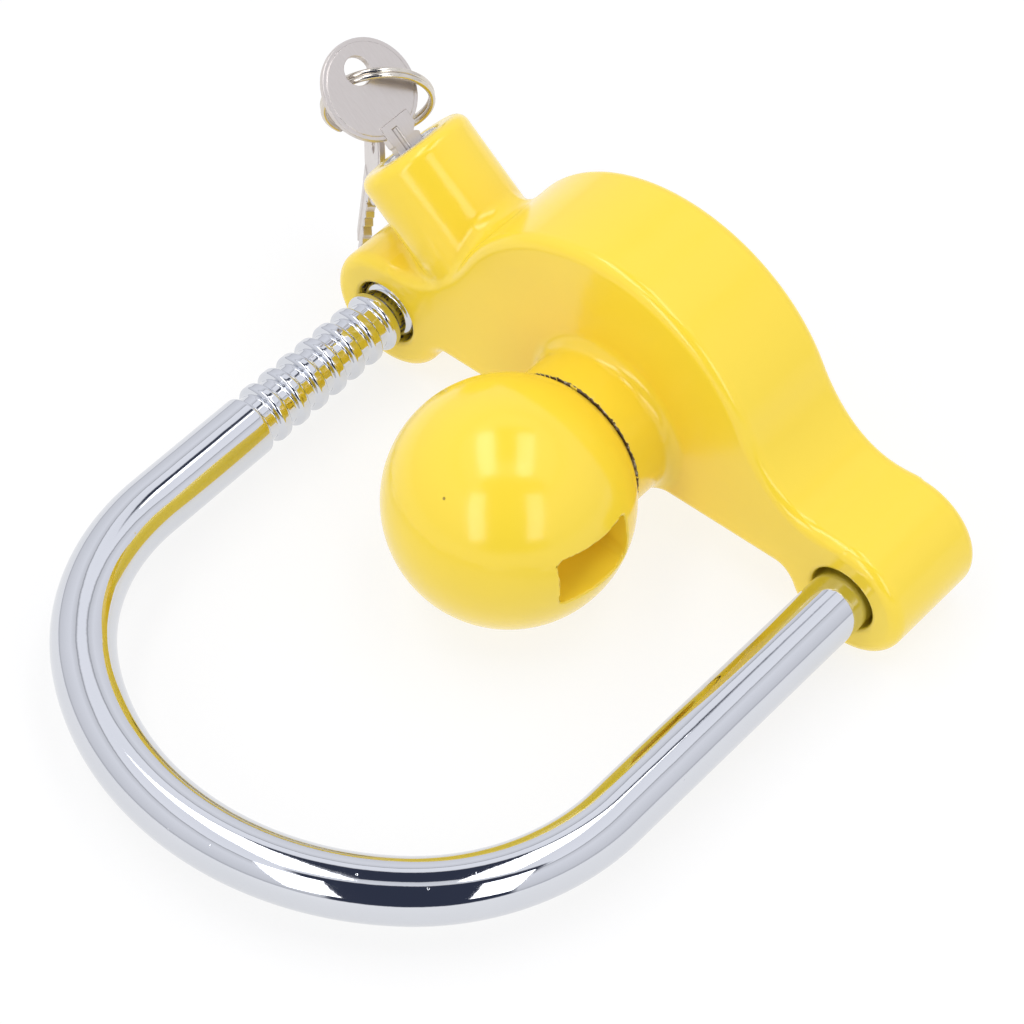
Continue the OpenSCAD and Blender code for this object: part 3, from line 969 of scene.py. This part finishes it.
def make_springs(material):
    """The pawl's spring, and one beside each wafer."""
    pawl_axis = LOCK_POS + PAWL_AT * LOCK_Z
    ends = [(pawl_axis + SPRING_SEAT * LOCK_X, pawl_axis + PAWL_COIL_END * LOCK_X)]
    make_coils("pawl_coil", "pawl_spring", "casting", material, ends, PAWL_COIL_R, PAWL_WIRE_R, 7)
    reach = WAFER_COIL_HALF * LOCK_Y
    ends = []
    for i in range(WAFERS):
        middle = LOCK_POS + WAFER_COIL_X * LOCK_X + (SLOT_FIRST + WAFER_PITCH * i) * LOCK_Z
        ends.append((middle - reach, middle + reach))
    coils = make_coils("wafer_coils", "wafer_springs", "lock_core", material, ends,
                       WAFER_COIL_R, WAFER_WIRE_R, 6)
    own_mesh(coils)


def dress(node, material):
    """Gives a CAD node that is shown as it is its finished material."""
    mesh = frame["nodes"][node].data
    mesh.materials.clear()
    mesh.materials.append(material)


# ---------------------------------------------------------------------------
# Stage: floor, lights, surroundings and camera. The camera's place is in
# millimetres too; the floor and the panels are in metres.
# ---------------------------------------------------------------------------
AZIMUTH = math.radians(40.41)
ELEVATION = math.radians(49.06)
DISTANCE = 800.0
LOOK_AT = Vector((1.785, -1.198, -0.8))
LENS = 152.8
FLOOR_HALF = 6.0
PANEL_AWAY = 1.1
PANEL_HEIGHT = 0.80
PANEL_WATTS = 2.05
TENT_STRENGTH = 1.15
GAP_COLOUR = (0.035, 0.042, 0.07)
# Brightness of the tent by height, where 0 is straight down, 0.5 level and 1 straight up.
TENT_TONES = [
    (0.0, 0.95), (0.5, 0.95), (0.515, 0.52), (0.56, 0.72), (0.70, 0.80), (0.80, 0.86),
    (0.855, 0.72), (0.864, 0.36), (0.875, 0.95), (0.96, 0.90), (1.0, 0.70)]

# The camera's own directions: towards the viewer, to the right and up in the picture.
back = Vector((
    math.sin(AZIMUTH) * math.cos(ELEVATION),
    -math.cos(AZIMUTH) * math.cos(ELEVATION),
    math.sin(ELEVATION)))
right = Vector((math.cos(AZIMUTH), math.sin(AZIMUTH), 0))
up = back.cross(right)


def standing(x, y, z, spot):
    """Matrix of an object at a spot with these axes."""
    return Matrix((
        (x.x, y.x, z.x, spot.x),
        (x.y, y.y, z.y, spot.y),
        (x.z, y.z, z.z, spot.z),
        (0, 0, 0, 1)))


def make_camera():
    data = bpy.data.cameras.new("camera")
    data.sensor_width = 36.0
    data.lens = LENS
    data.clip_start = 0.01
    data.clip_end = 20.0
    camera = bpy.data.objects.new("camera", data)
    bpy.context.scene.collection.objects.link(camera)
    camera.matrix_world = standing(right, up, back, (LOOK_AT + back * DISTANCE) * MM)
    bpy.context.scene.camera = camera


def make_floor():
    mesh = bpy.data.meshes.new("studio_floor")
    half, z = FLOOR_HALF, FLOOR_Z * MM
    square = [(-half, -half, z), (half, -half, z), (half, half, z), (-half, half, z)]
    mesh.from_pydata(square, [], [(0, 1, 2, 3)])
    floor = bpy.data.objects.new("studio_floor", mesh)
    bpy.context.scene.collection.objects.link(floor)
    mesh.materials.append(floor_material())


def make_panel(name, aside, above, width):
    """A soft panel seen from the object at these angles from the camera's own direction."""
    a, b = math.radians(aside), math.radians(above)
    level = back * math.cos(a) + right * math.sin(a)
    way = (level * math.cos(b) + up * math.sin(b)).normalized()
    data = bpy.data.lights.new(name, "AREA")
    data.shape = "RECTANGLE"
    data.size, data.size_y = width, PANEL_HEIGHT
    data.energy = PANEL_WATTS
    lamp = bpy.data.objects.new(name, data)
    side = (right - way * right.dot(way)).normalized()
    lamp.matrix_world = standing(side, way.cross(side), way, way * PANEL_AWAY)
    bpy.context.scene.collection.objects.link(lamp)


def make_surroundings():
    """A pale tent with soft bands, and two dark gaps: in front of the object and above it."""
    world = bpy.data.worlds.new("tent")
    bpy.context.scene.world = world
    world.use_nodes = True
    tree = world.node_tree
    way = tree.nodes.new("ShaderNodeTexCoord").outputs["Generated"]

    def along(direction, low, high):
        """0 to 1 as the view's share along a direction goes from low to high."""
        dot = tree.nodes.new("ShaderNodeVectorMath")
        dot.operation = "DOT_PRODUCT"
        dot.inputs[1].default_value = direction
        tree.links.new(way, dot.inputs[0])
        step = tree.nodes.new("ShaderNodeMapRange")
        step.inputs["From Min"].default_value = low
        step.inputs["From Max"].default_value = high
        tree.links.new(dot.outputs["Value"], step.inputs["Value"])
        return step.outputs["Result"]

    def combine(operation, a, b):
        made = tree.nodes.new("ShaderNodeMath")
        made.operation = operation
        tree.links.new(a, made.inputs[0])
        tree.links.new(b, made.inputs[1])
        return made.outputs["Value"]

    def window(direction, start, full, fading, end):
        """1 from full to fading along a direction, and 0 before start and after end."""
        return combine("MULTIPLY", along(direction, start, full), along(-direction, -end, -fading))

    bands = tree.nodes.new("ShaderNodeValToRGB")
    fill_ramp(bands, [(height, (tone * 0.97, tone * 0.98, tone * 1.03)) for height, tone in TENT_TONES])
    tree.links.new(along((0, 0, 1), -1, 1), bands.inputs["Fac"])
    # The front gap runs from level upwards, and the top gap lies overhead and leans to the rear.
    heading = Vector((back.x, back.y, 0)).normalized()
    level = combine("MULTIPLY", along(heading, 0.32, 0.36), along((0, 0, 1), 0.0, 0.04))
    front = combine("MULTIPLY", window(right, -0.42, -0.38, 0.50, 0.54), level)
    middle = window(right, -0.20, -0.14, 0.26, 0.34)
    top = combine("MULTIPLY", middle, window(heading, -0.48, -0.44, 0.10, 0.14))
    gap = combine("MAXIMUM", top, front)
    shade = tree.nodes.new("ShaderNodeMix")
    shade.data_type = "RGBA"
    tree.links.new(gap, shade.inputs[0])
    tree.links.new(bands.outputs["Color"], shade.inputs[6])
    shade.inputs[7].default_value = (*GAP_COLOUR, 1)
    light = tree.nodes["Background"]
    tree.links.new(shade.outputs[2], light.inputs["Color"])
    light.inputs["Strength"].default_value = TENT_STRENGTH


make_camera()
make_floor()
make_surroundings()
make_panel("panel_upper_left", -25, 41, 0.26)
make_panel("panel_upper_right", 18, 41, 0.26)
make_panel("panel_lower_left", -29, -14, 0.28)
make_panel("panel_lower_right", 24, -14, 0.28)
bpy.context.scene.view_settings.view_transform = "Standard"

enamel = enamel_material()
make_casting(enamel)
make_ball(enamel)
make_shackle(chrome_material())
make_plug(plated_material())
make_keys(nickel_material())
make_ring(wire_material())
black = metal_material("blackened_steel", (0.12, 0.12, 0.125), (0.05, 0.05, 0.055), (0.25, 0.45), 1.5)
make_screw(black)

steel = metal_material("oiled_steel", (0.58, 0.58, 0.59), (0.34, 0.33, 0.32), (0.18, 0.42), 1.2)
brass = metal_material("stamped_brass", (0.80, 0.60, 0.25), (0.55, 0.38, 0.14), (0.18, 0.40), 0.9)
dress("pawl_bore_cap", enamel)
make_springs(steel)
for steel_node in ("ball_washer", "lock_shell", "shell_pin", "pawl", "plug_clip", "plug_cam", "cam_pin"):
    dress(steel_node, steel)
for wafer in range(1, WAFERS + 1):
    dress(f"wafer_{wafer}", brass)
